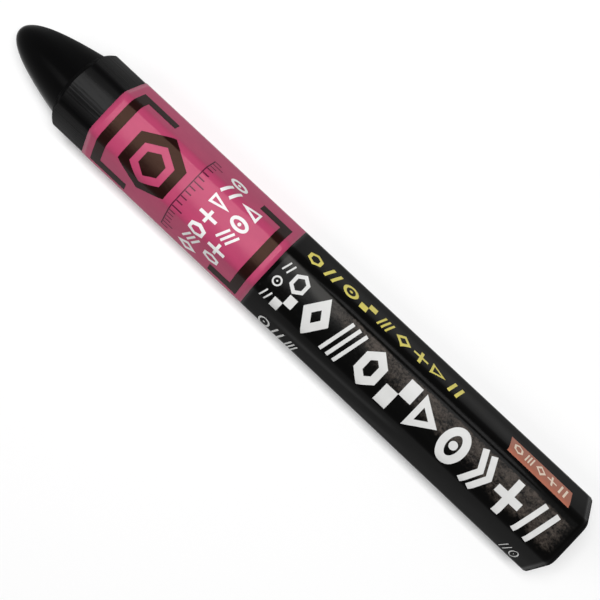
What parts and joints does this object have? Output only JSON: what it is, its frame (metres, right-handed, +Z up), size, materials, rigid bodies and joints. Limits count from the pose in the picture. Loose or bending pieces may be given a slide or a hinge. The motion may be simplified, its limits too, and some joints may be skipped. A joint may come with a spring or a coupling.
{
  "type": "marking chalk",
  "caption": "Black hexagonal marking chalk with a bullet-shaped writing tip and chamfered shoulder, wrapped in a pink and black printed film label.",
  "frame": {"origin": "middle of the stick's length and width, on the plane that its lower flat lies on", "axes": "+X along the stick from the nose to the tail, +Y across it toward the flat with the orange patch, +Z up"},
  "size_m": [0.12, 0.0162, 0.0145],
  "materials": {
    "black_chalk": "satin moulded wax-bound chalk with fine streaks along the stick",
    "clear_film": "thin label film, covered by the print",
    "seam_glue": "pale dried glue, hidden in the lap",
    "pink_ink": "glossy pink print",
    "black_ink": "glossy black print, mottled brown-grey where the film lies on the chalk",
    "dark_ink": "glossy dark brown-black print",
    "orange_ink": "glossy orange print"
  },
  "bodies": {
    "root": {"chalk_stick": "black_chalk", "label_film": "clear_film", "seam_adhesive": "seam_glue", "pink_print": "pink_ink", "black_print": "black_ink", "front_bracket_print": "dark_ink", "rear_bracket_print": "dark_ink", "orange_patch_print": "orange_ink"}
  },
  "joints": []
}
